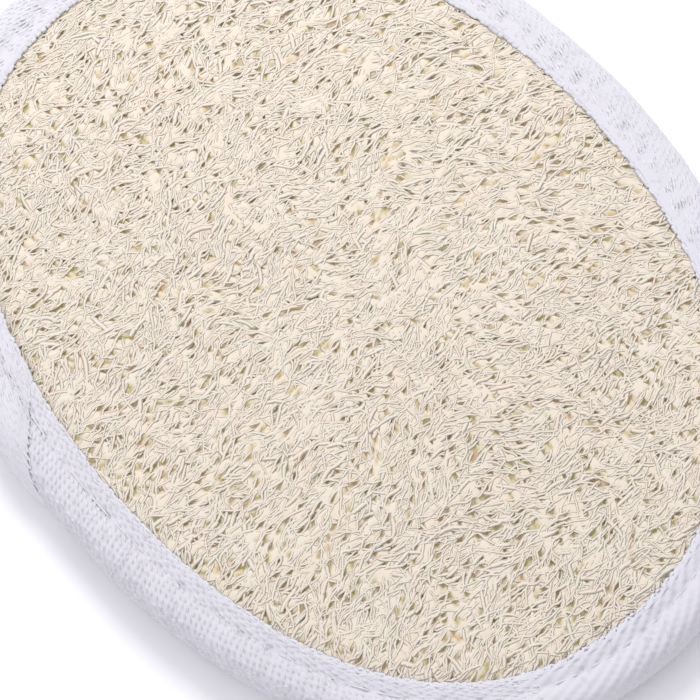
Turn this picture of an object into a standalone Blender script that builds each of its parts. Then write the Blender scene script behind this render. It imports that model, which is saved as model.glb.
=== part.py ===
"""Oval bath scrub pad: a natural loofah face and a terry back, bound with cotton tape.

Metres, +Z up. The pad lies with its loofah face up and its long axis along X. The origin is at the
middle of its underside, where the flat middle of the terry back rests.
"""

import math
import random

import bmesh
import bpy
from mathutils import Vector, noise
from mathutils.geometry import delaunay_2d_cdt

MM = 0.001
COLLECTION_NAME = "Loofah scrub pad"

# Outline of the pad, measured to the outermost edge of the binding tape
HALF_LENGTH = 75.0 * MM
HALF_WIDTH = 56.7 * MM
# How a hand-cut oval departs from an ellipse: order, cosine part and sine part
HAND_CUT = ((3, -0.0009, -0.0079), (4, -0.0131, -0.0005))
RIM_SEGMENTS = 64

# Cotton binding tape, folded over the edge: (distance in from the outermost edge, height)
TAPE_SECTION = [
    (8.2 * MM, 8.5 * MM),
    (7.0 * MM, 9.0 * MM),
    (5.3 * MM, 8.0 * MM),
    (3.6 * MM, 8.5 * MM),
    (1.6 * MM, 8.1 * MM),
    (0.3 * MM, 6.6 * MM),
    (0.0 * MM, 4.9 * MM),
    (0.4 * MM, 3.2 * MM),
    (1.7 * MM, 1.8 * MM),
    (3.6 * MM, 1.5 * MM),
    (5.3 * MM, 2.15 * MM),
    (7.0 * MM, 1.45 * MM),
    (8.2 * MM, 1.8 * MM),
]
TAPE_FOLD_INDEX = 6
TOP_GROOVE_INDEX = 2
BOTTOM_GROOVE_INDEX = 10
TAPE_THICKNESS = 0.9 * MM

# Lap of the tape's two ends, as angles round the outline
LAP_UNDER_END = math.radians(236.0)
LAP_UPPER_END = math.radians(266.0)
LAP_RISE = 1.2 * MM
LAP_RAMP_START = math.radians(219.0)
LAP_RAMP_END = math.radians(233.0)
LAP_SLANT = 1.5
SLANT_BLEND_START = math.radians(200.0)
TAPE_STEP = math.radians(6.8)
LAP_STEP = math.radians(2.8)

# Terry cloth back: (distance in, height) of the underside, then of the inner side
TERRY_UNDERSIDE = [
    (14.0 * MM, 0.0),
    (11.5 * MM, 0.35 * MM),
    (9.3 * MM, 1.5 * MM),
    (8.0 * MM, 3.05 * MM),
    (2.6 * MM, 3.25 * MM),
]
TERRY_INNER_SIDE = [
    (2.6 * MM, 3.95 * MM),
    (8.6 * MM, 3.95 * MM),
    (9.9 * MM, 2.6 * MM),
    (11.8 * MM, 1.75 * MM),
    (14.0 * MM, 1.5 * MM),
]

# Loofah slab below its net: (distance in, height) from the middle of the underside to the net's rim
SLAB_PROFILE = [
    (14.3 * MM, 1.85 * MM),
    (12.0 * MM, 2.1 * MM),
    (10.2 * MM, 2.95 * MM),
    (8.8 * MM, 4.3 * MM),
    (1.7 * MM, 4.4 * MM),
    (1.3 * MM, 5.3 * MM),
    (1.7 * MM, 6.2 * MM),
    (2.7 * MM, 6.6 * MM),
    (5.3 * MM, 6.65 * MM),
    (8.0 * MM, 7.2 * MM),
]

# Raised net of the loofah face, larger than life
NET_PITCH_X = 2.95 * MM
NET_PITCH_Y = 5.2 * MM
NET_JITTER = 0.33
NET_SWIRL = 5.0 * MM
NET_SWIRL_SCALE = 32.0
NET_RIM_MARGIN = 1.5 * MM
NET_RISE_WIDTH = 3.2 * MM
NET_EDGE_HEIGHT = 8.5 * MM
NET_CROWN_HEIGHT = 9.4 * MM
NET_UNEVENNESS = 0.3 * MM
NET_DEPTH = (0.7 * MM, 1.4 * MM)
NET_OPENING = (0.56, 0.72)
CELL_MOST_SIDES = 6
CELL_WIDEST_CORNER = math.radians(168.0)

# Sewing thread in the two stitch grooves
STITCH_COUNT = 60
THREAD_RADIUS = 0.22 * MM
THREAD_CLEARANCE = 0.3 * MM
THREAD_BULGE = 0.08 * MM
THREAD_LAP_MARGIN = math.radians(3.0)
THREAD_LAP_DROP = math.radians(4.0)


def smooth_step(value, low, high):
    """Rise from 0 at low to 1 at high with level ends."""
    share = min(max((value - low) / (high - low), 0.0), 1.0)
    return share * share * (3.0 - 2.0 * share)


def cut_outline(angle):
    """Give the outline's point at an angle, about the centre of its ellipse."""
    stretch = 1.0
    for order, cosine, sine in HAND_CUT:
        stretch += cosine * math.cos(order * angle) + sine * math.sin(order * angle)
    return Vector((HALF_LENGTH * math.cos(angle), HALF_WIDTH * math.sin(angle))) * stretch


def outline_speed(angle):
    """Give how the outline's point moves with its angle."""
    step = 0.001
    return (cut_outline(angle + step) - cut_outline(angle - step)) / (2.0 * step)


def inward(angle):
    """Give the unit direction from the outline towards the pad's middle."""
    along = outline_speed(angle).normalized()
    return Vector((-along.y, along.x))


def lap_rise(angle):
    """Give how far the tape's upper end stands off the lower one at an angle."""
    return LAP_RISE * smooth_step(angle, LAP_RAMP_START, LAP_RAMP_END)


def outline_centre():
    """Find the middle of the outline's box, with the lap's bulge in it."""
    reach = []
    for degree in range(360):
        angle = math.radians(degree)
        bulge = lap_rise(angle) if angle <= LAP_UPPER_END else 0.0
        reach.append(cut_outline(angle) - inward(angle) * bulge)
    lengthwise = [point.x for point in reach]
    sideways = [point.y for point in reach]
    middle_x = (max(lengthwise) + min(lengthwise)) / 2.0
    middle_y = (max(sideways) + min(sideways)) / 2.0
    return Vector((middle_x, middle_y))


CENTRE = outline_centre()


def pad_point(angle, inset, height):
    """Give the point at a distance in from the outermost edge, at a height."""
    flat = cut_outline(angle) + inward(angle) * inset - CENTRE
    return Vector((flat.x, flat.y, height))


def finish(name, colour, roughness):
    """Make one material with a matt, slightly soft surface."""
    material = bpy.data.materials.new(name)
    material.use_nodes = True
    surface = material.node_tree.nodes["Principled BSDF"]
    surface.inputs["Base Color"].default_value = (*colour, 1.0)
    surface.inputs["Roughness"].default_value = roughness
    surface.inputs["Metallic"].default_value = 0.0
    material.diffuse_color = (*colour, 1.0)
    return material


def place(mesh, name, material, collection):
    """Put a mesh in the collection as one named piece."""
    piece = bpy.data.objects.new(name, mesh)
    mesh.materials.append(material)
    collection.objects.link(piece)
    return piece


def ring(bm, inset, height):
    """Add one ring of points that follows the outline."""
    points = []
    for index in range(RIM_SEGMENTS):
        angle = 2.0 * math.pi * index / RIM_SEGMENTS
        points.append(bm.verts.new(pad_point(angle, inset, height)))
    return points


def join_rings(bm, rings):
    """Join each ring to the next with a band of faces."""
    for lower, upper in zip(rings, rings[1:]):
        for index in range(RIM_SEGMENTS):
            after = (index + 1) % RIM_SEGMENTS
            bm.faces.new((lower[index], upper[index], upper[after], lower[after]))


def close_body(bm):
    """Weld the seams of a closed body and turn its faces outward."""
    bmesh.ops.remove_doubles(bm, verts=bm.verts[:], dist=0.01 * MM)
    bmesh.ops.recalc_face_normals(bm, faces=bm.faces[:])


def make_terry(collection):
    """Make the terry cloth back: a shallow dish whose flat middle rests on the surface."""
    bm = bmesh.new()
    rings = [ring(bm, inset, height) for inset, height in TERRY_UNDERSIDE + TERRY_INNER_SIDE]
    join_rings(bm, rings)
    bm.faces.new(rings[0])
    bm.faces.new(rings[-1])
    close_body(bm)
    mesh = bpy.data.meshes.new("terry_backing")
    bm.to_mesh(mesh)
    bm.free()
    mesh.shade_smooth()
    mesh.set_sharp_from_angle(angle=math.radians(40.0))
    place(mesh, "terry_backing", finish("terry cotton", (0.80, 0.78, 0.74), 0.95), collection)


def distance_in(point, edge):
    """Give how far a flat point lies in from the outermost edge."""
    return min((point - other).length for other in edge)


def net_nodes(draw, edge):
    """Scatter the points where strands meet, with a swirl in their lie."""
    nodes = []
    rows = int(HALF_WIDTH / NET_PITCH_Y) + 2
    columns = int(HALF_LENGTH / NET_PITCH_X) + 2
    rim = SLAB_PROFILE[-1][0] + NET_RIM_MARGIN
    for row in range(-rows, rows + 1):
        for column in range(-columns, columns + 1):
            shift = 0.5 * (row % 2)
            x = (column + shift + draw.uniform(-NET_JITTER, NET_JITTER)) * NET_PITCH_X
            y = (row + draw.uniform(-NET_JITTER, NET_JITTER)) * NET_PITCH_Y
            swirl = noise.noise_vector(Vector((x, y, 0.0)) * NET_SWIRL_SCALE) * NET_SWIRL
            x += swirl.x
            y += swirl.y
            point = Vector((x, y))
            inside = (x / HALF_LENGTH) ** 2 + (y / HALF_WIDTH) ** 2 < 1.0
            if inside and distance_in(point, edge) > rim:
                nodes.append(point)
    return nodes


def net_faces(bm, nodes):
    """Span the net's nodes and its rim with triangles that are long the way the fibres lie."""
    squeeze = NET_PITCH_X / NET_PITCH_Y
    rim_inset = SLAB_PROFILE[-1][0]
    rim_points = []
    for index in range(RIM_SEGMENTS):
        corner = pad_point(2.0 * math.pi * index / RIM_SEGMENTS, rim_inset, 0.0)
        rim_points.append(corner.xy)
    points = [Vector((point.x, point.y * squeeze)) for point in rim_points + nodes]
    rim_edges = [(index, (index + 1) % RIM_SEGMENTS) for index in range(RIM_SEGMENTS)]
    flat, _, triangles, _, _, _ = delaunay_2d_cdt(points, rim_edges, [], 1, 1e-7)
    corners = [bm.verts.new((point.x, point.y / squeeze, 0.0)) for point in flat]
    for triangle in triangles:
        bm.faces.new([corners[index] for index in triangle])


def merges_cleanly(edge):
    """Say whether the two cells beside a strand make one convex cell without it."""
    sides = sum(len(face.verts) for face in edge.link_faces) - 2
    if sides > CELL_MOST_SIDES:
        return False
    for end in edge.verts:
        corner = sum(loop.calc_angle() for loop in end.link_loops if loop.face in edge.link_faces[:])
        if corner > CELL_WIDEST_CORNER:
            return False
    return True


def open_cells(bm, draw):
    """Take out strands, those across the fibres first, so that the cells grow long and uneven."""
    strands = [edge for edge in bm.edges if len(edge.link_faces) == 2]

    def crosswise(edge):
        run = edge.verts[1].co - edge.verts[0].co
        return abs(run.x) / run.length + draw.uniform(0.0, 0.9)

    strands.sort(key=crosswise, reverse=True)
    for edge in strands:
        if edge.is_valid and len(edge.link_faces) == 2 and merges_cleanly(edge):
            bmesh.utils.face_join(edge.link_faces[:])


def raise_net(bm, draw, edge):
    """Lift the strands into a gentle crown and sink each cell between them."""
    rim_inset, rim_height = SLAB_PROFILE[-1]
    for corner in bm.verts:
        if corner.is_boundary:
            corner.co.z = rim_height
            continue
        inset = distance_in(corner.co.xy, edge)
        crown = smooth_step(inset, rim_inset, HALF_WIDTH) * (NET_CROWN_HEIGHT - NET_EDGE_HEIGHT)
        rise = smooth_step(inset, rim_inset, rim_inset + NET_RISE_WIDTH)
        uneven = draw.uniform(-NET_UNEVENNESS, NET_UNEVENNESS)
        corner.co.z = rim_height + (NET_EDGE_HEIGHT - rim_height + crown + uneven) * rise
    cells = bmesh.ops.extrude_discrete_faces(bm, faces=bm.faces[:])["faces"]
    for cell in cells:
        middle = cell.calc_center_median()
        opening = draw.uniform(*NET_OPENING)
        depth = draw.uniform(*NET_DEPTH)
        for corner in cell.verts:
            corner.co = middle.lerp(corner.co, opening)
            corner.co.z -= depth


def make_loofah(collection):
    """Make the loofah slab: a pressed rim, a flat underside and a raised net of fibres on top."""
    draw = random.Random(41)
    edge = [pad_point(math.radians(degree), 0.0, 0.0).xy for degree in range(360)]
    bm = bmesh.new()
    net_faces(bm, net_nodes(draw, edge))
    open_cells(bm, draw)
    raise_net(bm, draw, edge)
    rings = [ring(bm, inset, height) for inset, height in SLAB_PROFILE]
    join_rings(bm, rings)
    bm.faces.new(rings[0])
    close_body(bm)
    mesh = bpy.data.meshes.new("loofah_pad")
    bm.to_mesh(mesh)
    bm.free()
    place(mesh, "loofah_pad", finish("loofah fibre", (0.83, 0.76, 0.64), 0.8), collection)


def section_outward(index):
    """Give the mitred outward direction of the tape's section at one of its points."""
    directions = []
    for start in (index - 1, index):
        if 0 <= start < len(TAPE_SECTION) - 1:
            run = Vector(TAPE_SECTION[start + 1]) - Vector(TAPE_SECTION[start])
            directions.append(Vector((run.y, -run.x)).normalized())
    first, last = directions[0], directions[-1]
    return (first + last) / (1.0 + first.dot(last))


def across_tape(index):
    """Give the distance across the tape from its fold to a point, less than 0 on the top side."""
    low, high = sorted((index, TAPE_FOLD_INDEX))
    length = 0.0
    for start in range(low, high):
        length += (Vector(TAPE_SECTION[start + 1]) - Vector(TAPE_SECTION[start])).length
    return length if index > TAPE_FOLD_INDEX else -length


def upper_end(index):
    """Give the angle at which the slanted upper end of the tape stops, for a point across it."""
    speed = outline_speed(LAP_UPPER_END).length
    return LAP_UPPER_END + LAP_SLANT * across_tape(index) / speed


def tape_angles():
    """List the angles of the tape's stations, closer together at the lap."""
    angles = []
    angle = LAP_UNDER_END - 2.0 * math.pi
    while angle < SLANT_BLEND_START - 0.5 * TAPE_STEP:
        angles.append(angle)
        angle += TAPE_STEP
    lap_steps = round((LAP_UPPER_END - angle) / LAP_STEP)
    for step in range(lap_steps + 1):
        angles.append(angle + (LAP_UPPER_END - angle) * step / lap_steps)
    return angles


def tape_point(angle, index):
    """Give a point of the tape's outer face."""
    slant = upper_end(index) - LAP_UPPER_END
    angle += slant * smooth_step(angle, SLANT_BLEND_START, LAP_UPPER_END)
    inset, height = Vector(TAPE_SECTION[index]) + section_outward(index) * lap_rise(angle)
    return pad_point(angle, inset, height)


def make_tape(collection):
    """Make the binding tape: one strip folded over the edge, its upper end lapped over the lower."""
    bm = bmesh.new()
    stations = []
    for angle in tape_angles():
        points = [tape_point(angle, index) for index in range(len(TAPE_SECTION))]
        stations.append([bm.verts.new(point) for point in points])
    for here, after in zip(stations, stations[1:]):
        for index in range(len(TAPE_SECTION) - 1):
            bm.faces.new((here[index], here[index + 1], after[index + 1], after[index]))
    mesh = bpy.data.meshes.new("binding_tape")
    bm.to_mesh(mesh)
    bm.free()
    mesh.shade_smooth()
    tape = place(mesh, "binding_tape", finish("woven cotton", (0.81, 0.79, 0.87), 0.85), collection)
    cloth = tape.modifiers.new("cloth thickness", "SOLIDIFY")
    cloth.thickness = TAPE_THICKNESS
    cloth.offset = -1.0
    cloth.use_even_offset = True


def thread_lift(angle, index):
    """Give how far the thread climbs over the lap and where it comes down off the upper end."""
    climb = LAP_RISE * smooth_step(angle, LAP_RAMP_START - THREAD_LAP_MARGIN, LAP_RAMP_END)
    past = upper_end(index) + THREAD_LAP_MARGIN
    return climb * (1.0 - smooth_step(angle, past, past + THREAD_LAP_DROP))


def make_thread(name, index, side, material, collection):
    """Make one closed line of stitches in a groove, on the top (side 1) or underneath (side -1)."""
    inset, height = TAPE_SECTION[index]
    curve = bpy.data.curves.new(name, "CURVE")
    curve.dimensions = "3D"
    curve.bevel_depth = THREAD_RADIUS
    curve.bevel_resolution = 0
    line = curve.splines.new("POLY")
    line.points.add(2 * STITCH_COUNT - 1)
    for number, point in enumerate(line.points):
        angle = 2.0 * math.pi * number / (2 * STITCH_COUNT)
        stand_off = THREAD_CLEARANCE + THREAD_RADIUS + thread_lift(angle, index)
        stand_off += THREAD_BULGE * (number % 2)
        point.co = (*pad_point(angle, inset, height + side * stand_off), 1.0)
    line.use_cyclic_u = True
    thread = bpy.data.objects.new(name, curve)
    curve.materials.append(material)
    collection.objects.link(thread)


def main():
    """Build the pad's pieces."""
    for item in list(bpy.data.objects):
        bpy.data.objects.remove(item, do_unlink=True)
    collection = bpy.data.collections.new(COLLECTION_NAME)
    bpy.context.scene.collection.children.link(collection)
    make_terry(collection)
    make_loofah(collection)
    make_tape(collection)
    cotton = finish("sewing thread", (0.84, 0.84, 0.88), 0.6)
    make_thread("seam_thread_top", TOP_GROOVE_INDEX, 1.0, cotton, collection)
    make_thread("seam_thread_bottom", BOTTOM_GROOVE_INDEX, -1.0, cotton, collection)


main()
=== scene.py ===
"""Looks of an oval loofah scrub pad: felted plant fibres, woven binding tape and a terry back."""

import logging
import math
from dataclasses import dataclass, field
from enum import Enum

import bpy
import numpy as np
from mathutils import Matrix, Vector, kdtree


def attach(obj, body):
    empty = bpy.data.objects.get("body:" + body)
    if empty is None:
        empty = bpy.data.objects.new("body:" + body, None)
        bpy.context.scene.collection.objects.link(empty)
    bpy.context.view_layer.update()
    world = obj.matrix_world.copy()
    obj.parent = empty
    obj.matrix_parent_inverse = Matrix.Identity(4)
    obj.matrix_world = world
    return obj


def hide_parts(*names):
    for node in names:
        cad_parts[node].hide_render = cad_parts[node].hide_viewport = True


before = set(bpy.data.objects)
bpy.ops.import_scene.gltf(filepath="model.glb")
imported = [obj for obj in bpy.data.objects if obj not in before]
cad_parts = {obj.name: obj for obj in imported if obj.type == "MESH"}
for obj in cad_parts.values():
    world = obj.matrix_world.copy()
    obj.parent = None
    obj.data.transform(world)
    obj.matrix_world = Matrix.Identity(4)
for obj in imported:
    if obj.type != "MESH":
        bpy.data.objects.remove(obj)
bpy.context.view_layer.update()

MM = 0.001
LOG = logging.getLogger("pad")


class FibreLayer(Enum):
    """The layers of the loofah's felt, from the bottom up."""

    DEEP = "deep"
    MIDDLE = "middle"
    FACE = "face"


class Side(Enum):
    """A side of the pad."""

    TOP = "top"
    UNDER = "under"


def smooth_step(value: np.ndarray, low: float, high: float) -> np.ndarray:
    """Rise from 0 at the low value to 1 at the high one, with level ends."""
    share = np.clip((value - low) / (high - low), 0.0, 1.0)
    return share * share * (3.0 - 2.0 * share)


def unit(vectors: np.ndarray) -> np.ndarray:
    """Scale the vectors along the last axis to length 1."""
    length = np.linalg.norm(vectors, axis=-1, keepdims=True)
    return vectors / np.maximum(length, 1e-12)


def direction(angle: np.ndarray) -> np.ndarray:
    """Give the flat unit directions at angles from X."""
    return np.stack([np.cos(angle), np.sin(angle)], axis=-1)


def left_of(ahead: np.ndarray) -> np.ndarray:
    """Turn flat directions a quarter turn to the left."""
    return np.stack([-ahead[..., 1], ahead[..., 0]], axis=-1)


def run_along(points: np.ndarray) -> np.ndarray:
    """Measure the distance along a line from its first point to each of its points."""
    steps = np.linalg.norm(np.diff(points, axis=0), axis=1)
    return np.concatenate([[0.0], np.cumsum(steps)])


def search_tree(places: np.ndarray) -> kdtree.KDTree:
    """Make a tree that finds the nearest of many places.

    Args:
        places: Places, of which X and Y are read.

    Returns:
        The tree, which is searched at height 0.
    """
    tree = kdtree.KDTree(len(places))
    for index, (x, y) in enumerate(places[:, :2]):
        tree.insert(Vector((x, y, 0.0)), index)
    tree.balance()
    return tree


@dataclass(frozen=True)
class Swell:
    """A smooth random field over the pad, from about minus its height to its height."""

    height: float
    wave: float
    seed: int
    cells: int = 96

    def at(self, x: np.ndarray, y: np.ndarray) -> np.ndarray:
        """Read the field.

        Args:
            x: Places along X, in metres.
            y: Places along Y, in metres.

        Returns:
            The field's value at each place.
        """
        lattice = np.random.default_rng(self.seed).uniform(-1.0, 1.0, (self.cells, self.cells))
        column = x / self.wave + self.cells
        row = y / self.wave + self.cells
        left = np.floor(column).astype(int)
        low = np.floor(row).astype(int)
        across = smooth_step(column - left, 0.0, 1.0)
        up = smooth_step(row - low, 0.0, 1.0)
        a, b = left % self.cells, (left + 1) % self.cells
        c, d = low % self.cells, (low + 1) % self.cells
        bottom = lattice[c, a] * (1.0 - across) + lattice[c, b] * across
        top = lattice[d, a] * (1.0 - across) + lattice[d, b] * across
        return self.height * (bottom * (1.0 - up) + top * up)


def add_swells(
    swells: tuple[Swell, ...], x: np.ndarray, y: np.ndarray, start: np.ndarray | float = 0.0
) -> np.ndarray:
    """Add the values that several fields have at places along X and Y to a start."""
    return sum((swell.at(x, y) for swell in swells), start)


@dataclass(frozen=True)
class PadOutline:
    """The pad's hand-cut oval, measured to the outermost edge of the tape.

    Each of its unevennesses has an order, a cosine share and a sine share.
    """

    half_length: float = 75.0 * MM
    half_width: float = 56.7 * MM
    hand_cut: tuple[tuple[int, float, float], ...] = ((3, -0.0009, -0.0079), (4, -0.0131, -0.0005))

    def cut(self, angle: np.ndarray) -> np.ndarray:
        """Give the outline's points before they are centred.

        Args:
            angle: Angles round the oval.

        Returns:
            The flat points.
        """
        stretch = np.ones_like(angle)
        for order, cosine, sine in self.hand_cut:
            stretch = stretch + cosine * np.cos(order * angle) + sine * np.sin(order * angle)
        x = self.half_length * np.cos(angle) * stretch
        y = self.half_width * np.sin(angle) * stretch
        return np.stack([x, y], axis=-1)

    def along(self, angle: np.ndarray) -> np.ndarray:
        """Give how fast and where the outline's point moves with its angle."""
        step = 0.001
        return (self.cut(angle + step) - self.cut(angle - step)) / (2.0 * step)

    def inward(self, angle: np.ndarray) -> np.ndarray:
        """Give the flat unit directions that point in, square to the outline."""
        return left_of(unit(self.along(angle)))

    def centre(self) -> np.ndarray:
        """Give the middle of the outline's box, as the frame has it.

        Returns:
            The flat point that lies on the frame's origin.
        """
        ring = np.radians(np.arange(360.0))
        bulge = np.where(ring <= LAP.upper_end, LAP.rise_at(ring), 0.0)
        reach = self.cut(ring) - self.inward(ring) * bulge[:, None]
        return (reach.max(axis=0) + reach.min(axis=0)) / 2.0

    def place(self, angle: np.ndarray, inset: np.ndarray, height: np.ndarray) -> np.ndarray:
        """Give points by how far they lie in from the edge.

        Args:
            angle: Angles round the oval.
            inset: Distances in from the outermost edge.
            height: Heights above the resting surface.

        Returns:
            The points in the frame.
        """
        angle, inset, height = np.broadcast_arrays(angle, inset, height)
        flat = self.cut(angle) + self.inward(angle) * inset[..., None] - self.centre()
        return np.concatenate([flat, height[..., None]], axis=-1)

    def run_of(self, inset: float) -> tuple[np.ndarray, np.ndarray]:
        """Give angles from half a turn below 0 to a full turn, and the distances along the edge there."""
        fine = np.linspace(-math.pi, math.tau, 6000)
        return fine, run_along(self.place(fine, inset, 0.0))

    def even_angles(self, inset: float, pitch: float, start: float, end: float) -> np.ndarray:
        """Space places evenly by their distance along the edge.

        Args:
            inset: Distance in from the edge at which the spacing is true.
            pitch: Distance from each place to the next.
            start: The first angle.
            end: The last angle.

        Returns:
            The angles.
        """
        fine = np.linspace(start, end, 4000)
        run = run_along(self.place(fine, inset, 0.0))
        count = max(int(round(run[-1] / pitch)), 1)
        return np.interp(np.linspace(0.0, run[-1], count + 1), run, fine)

    def round_angles(self, inset: float, pitch: float) -> np.ndarray:
        """Space places evenly once round the oval."""
        return self.even_angles(inset, pitch, 0.0, math.tau)[:-1]

    def cells(self, pitch: float) -> np.ndarray:
        """Lay an even grid over the oval's box.

        Args:
            pitch: Distance from each place to the next.

        Returns:
            Flat places, one a row.
        """
        x = np.arange(-self.half_length, self.half_length, pitch)
        y = np.arange(-self.half_width, self.half_width, pitch)
        return np.stack(np.meshgrid(x, y), axis=-1).reshape(-1, 2)

    def inset_of(self, points: np.ndarray) -> np.ndarray:
        """Measure how far flat points lie in from the edge.

        Args:
            points: Points in the frame, of which X and Y are read.

        Returns:
            The distance in from the outermost edge, below 0 outside it.
        """
        ring = np.radians(np.arange(0.0, 360.0, 0.5))
        tree = search_tree(self.place(ring, 0.0, 0.0))
        inward = self.inward(ring)
        found = np.zeros(len(points))
        for row, (x, y) in enumerate(points[:, :2]):
            nearest, index, _ = tree.find(Vector((x, y, 0.0)))
            found[row] = (x - nearest.x) * inward[index, 0] + (y - nearest.y) * inward[index, 1]
        return found


@dataclass(frozen=True)
class TapeLap:
    """Where the tape's upper end lies over its lower one, as angles round the oval."""

    under_end: float = math.radians(236.0)
    upper_end: float = math.radians(266.0)
    rise: float = 1.2 * MM
    ramp_start: float = math.radians(219.0)
    ramp_end: float = math.radians(233.0)
    slant: float = 1.5
    blend_start: float = math.radians(200.0)

    def rise_at(self, angle: np.ndarray) -> np.ndarray:
        """Give how far the upper end stands off at each angle."""
        return self.rise * smooth_step(angle, self.ramp_start, self.ramp_end)

    def strip_start(self) -> float:
        """Give the angle at which the strip starts: its lower end, counted one turn back."""
        return self.under_end - math.tau


LAP = TapeLap()
OUTLINE = PadOutline()


@dataclass(frozen=True)
class TapeSection:
    """The outer face of the folded tape, cut across."""

    corners: tuple[tuple[float, float], ...] = (
        (8.2 * MM, 8.5 * MM),
        (7.0 * MM, 9.0 * MM),
        (5.3 * MM, 8.0 * MM),
        (3.6 * MM, 8.5 * MM),
        (1.6 * MM, 8.1 * MM),
        (0.3 * MM, 6.6 * MM),
        (0.0 * MM, 4.9 * MM),
        (0.4 * MM, 3.2 * MM),
        (1.7 * MM, 1.8 * MM),
        (3.6 * MM, 1.5 * MM),
        (5.3 * MM, 2.15 * MM),
        (7.0 * MM, 1.45 * MM),
        (8.2 * MM, 1.8 * MM),
    )
    fold_corner: int = 6
    top_groove_corner: int = 2
    under_groove_corner: int = 10
    steps_between: int = 8

    def line(self) -> tuple[np.ndarray, np.ndarray]:
        """Round the corners into one smooth line.

        Returns:
            The line's points (distance in, height), and its distance across from the fold.
        """
        knots = np.array(self.corners)
        ends = 2.0 * knots[[0, -1]] - knots[[1, -2]]
        padded = np.concatenate([ends[:1], knots, ends[1:]])
        points = []
        for index in range(len(knots) - 1):
            before, here, after, beyond = padded[index : index + 4]
            for share in np.arange(self.steps_between) / self.steps_between:
                pull = (after - before) * share
                bend = (2.0 * before - 5.0 * here + 4.0 * after - beyond) * share**2
                turn = (3.0 * here - before - 3.0 * after + beyond) * share**3
                points.append(here + 0.5 * (pull + bend + turn))
        points.append(knots[-1])
        line = np.array(points)
        run = run_along(line)
        return line, run - run[self.fold_corner * self.steps_between]

    def at(self, across: np.ndarray) -> tuple[np.ndarray, np.ndarray]:
        """Read the line.

        Args:
            across: Distances across the tape from its fold, less than 0 on the top side.

        Returns:
            The points (distance in, height) and the unit outward directions there.
        """
        line, run = self.line()
        reach = 0.02 * MM

        def read(where: np.ndarray) -> np.ndarray:
            """Read the points of the line."""
            return np.stack([np.interp(where, run, line[:, 0]), np.interp(where, run, line[:, 1])], -1)

        inside = np.clip(across, run[0] + reach, run[-1] - reach)
        ahead = unit(read(inside + reach) - read(inside - reach))
        return read(across), np.stack([ahead[..., 1], -ahead[..., 0]], axis=-1)

    def corner_across(self, corner: int) -> float:
        """Give the distance across at one corner of the section."""
        return float(self.line()[1][corner * self.steps_between])


SECTION = TapeSection()


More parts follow.
